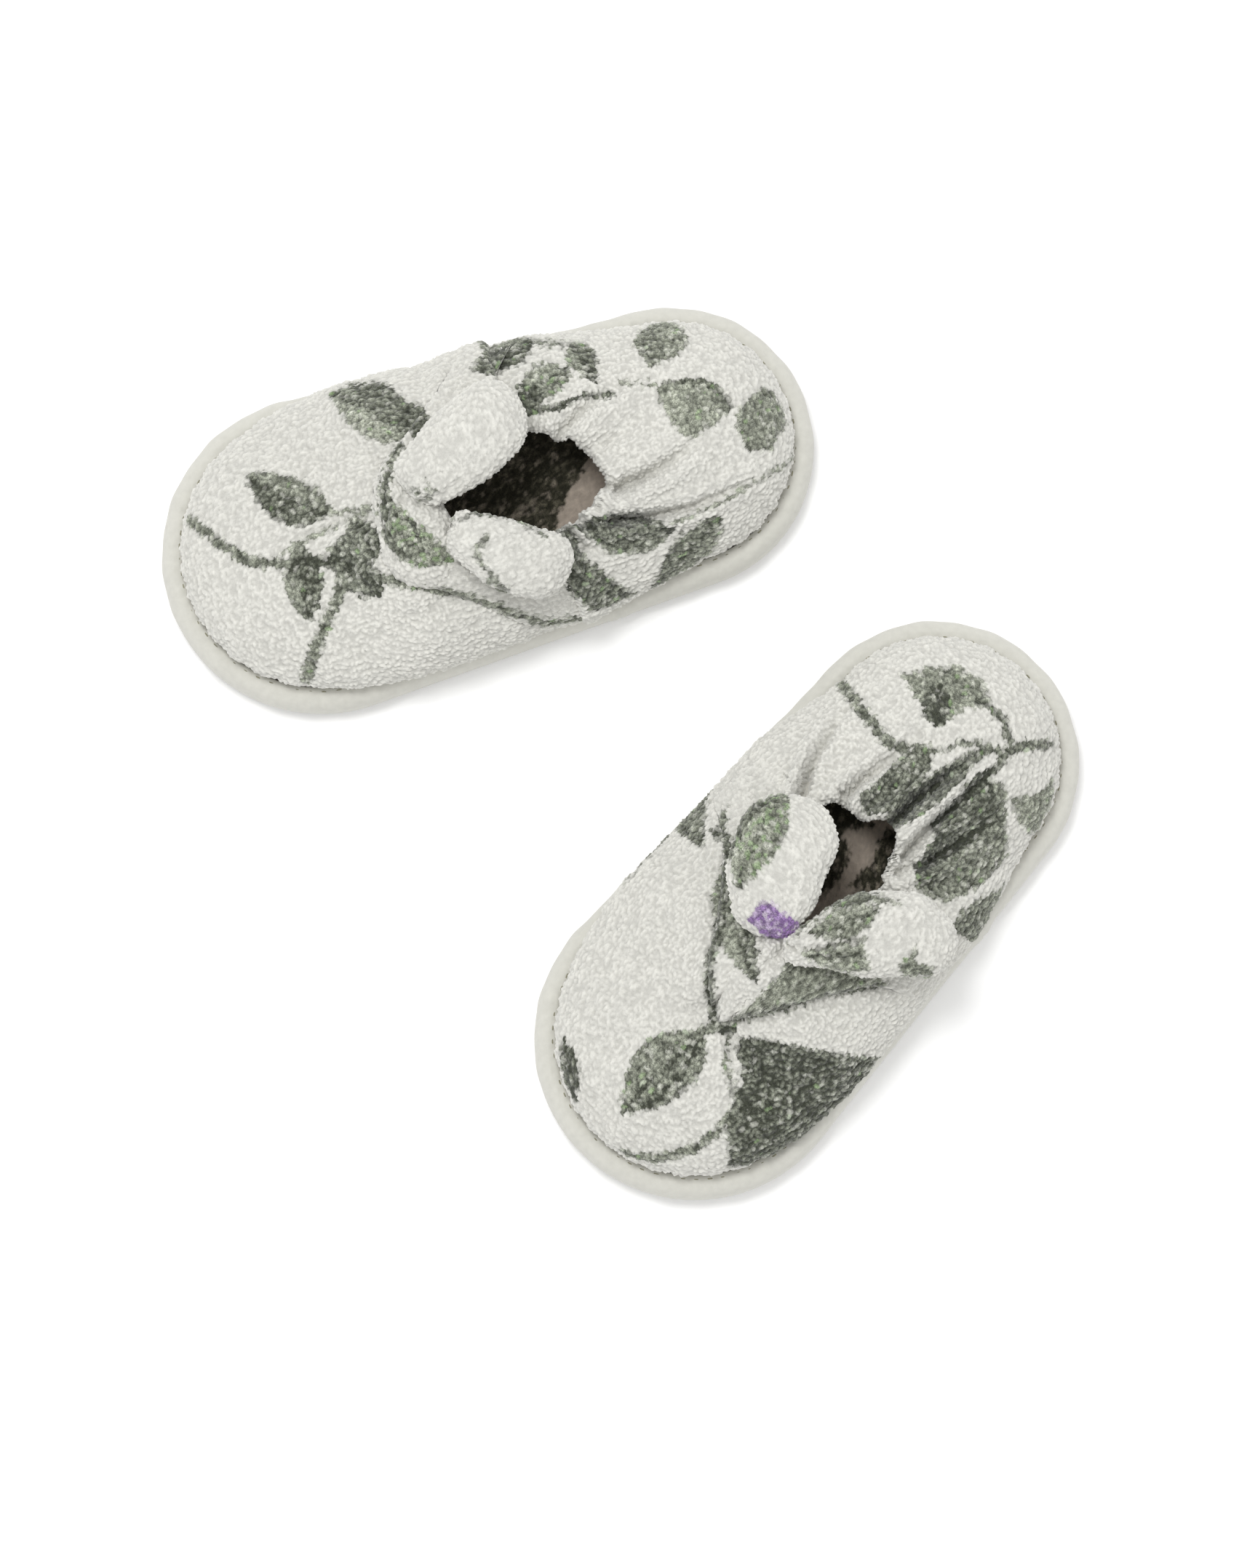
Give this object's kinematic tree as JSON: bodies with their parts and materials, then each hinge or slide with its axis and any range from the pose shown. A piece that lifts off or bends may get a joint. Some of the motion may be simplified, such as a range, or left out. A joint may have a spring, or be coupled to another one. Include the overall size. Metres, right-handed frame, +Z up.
{
  "type": "spa slippers",
  "caption": "Small terry spa slippers with bound flat soles, gathered elastic heels, and tied throats whose loose ends lie back like ears.",
  "frame": {"origin": "middle of the plan box of both slippers, on the surface that the soles stand on", "axes": "+Z up; +X and +Y level, with both toes pointing towards -X and -Y"},
  "size_m": [0.178, 0.1742, 0.0378],
  "materials": {
    "terry": "looped terry, printed with grey-green leaves",
    "tape": "smooth woven cotton tape",
    "lining": "plain woven cotton",
    "footbed": "looped terry, printed",
    "canvas": "plain canvas",
    "wadding": "soft wadding",
    "elastic": "braided elastic"
  },
  "bodies": {
    "left_slipper": {"left_outsole": "canvas", "left_sole_padding": "wadding", "left_insole": "footbed", "left_binding": "tape", "left_vamp_outer": "terry", "left_heel_outer": "terry", "left_vamp_lining": "lining", "left_heel_lining": "lining", "left_elastic_band": "elastic", "left_inner_strap": "terry", "left_outer_strap": "terry", "left_knot": "terry"},
    "left_inner_ear": {"left_inner_ear": "terry"},
    "left_outer_ear": {"left_outer_ear": "terry"},
    "right_slipper": {"right_outsole": "canvas", "right_sole_padding": "wadding", "right_insole": "footbed", "right_binding": "tape", "right_vamp_outer": "terry", "right_heel_outer": "terry", "right_vamp_lining": "lining", "right_heel_lining": "lining", "right_elastic_band": "elastic", "right_inner_strap": "terry", "right_outer_strap": "terry", "right_knot": "terry"},
    "right_inner_ear": {"right_inner_ear": "terry"},
    "right_outer_ear": {"right_outer_ear": "terry"}
  },
  "joints": [
    {"name": "right_slipper_lift", "type": "slide", "parent": "left_slipper", "child": "right_slipper", "axis": [0, 0, 1], "range_m": [0, 0.1]},
    {"name": "left_outer_ear_fold", "type": "hinge", "parent": "left_slipper", "child": "left_outer_ear", "pos_m": [-0.03238, 0.04009, 0.03295], "axis": [-0.3404, -0.9403, 0], "range_deg": [0, 60]},
    {"name": "left_inner_ear_fold", "type": "hinge", "parent": "left_slipper", "child": "left_inner_ear", "pos_m": [-0.03609, 0.05046, 0.03295], "axis": [0.6959, -0.7181, 0], "range_deg": [0, 60]},
    {"name": "right_inner_ear_fold", "type": "hinge", "parent": "right_slipper", "child": "right_inner_ear", "pos_m": [0.03692, -0.04186, 0.03295], "axis": [0.1547, -0.988, 0], "range_deg": [0, 60]},
    {"name": "right_outer_ear_fold", "type": "hinge", "parent": "right_slipper", "child": "right_outer_ear", "pos_m": [0.02977, -0.03562, 0.03295], "axis": [0.9655, -0.2605, 0], "range_deg": [0, 60]}
  ]
}
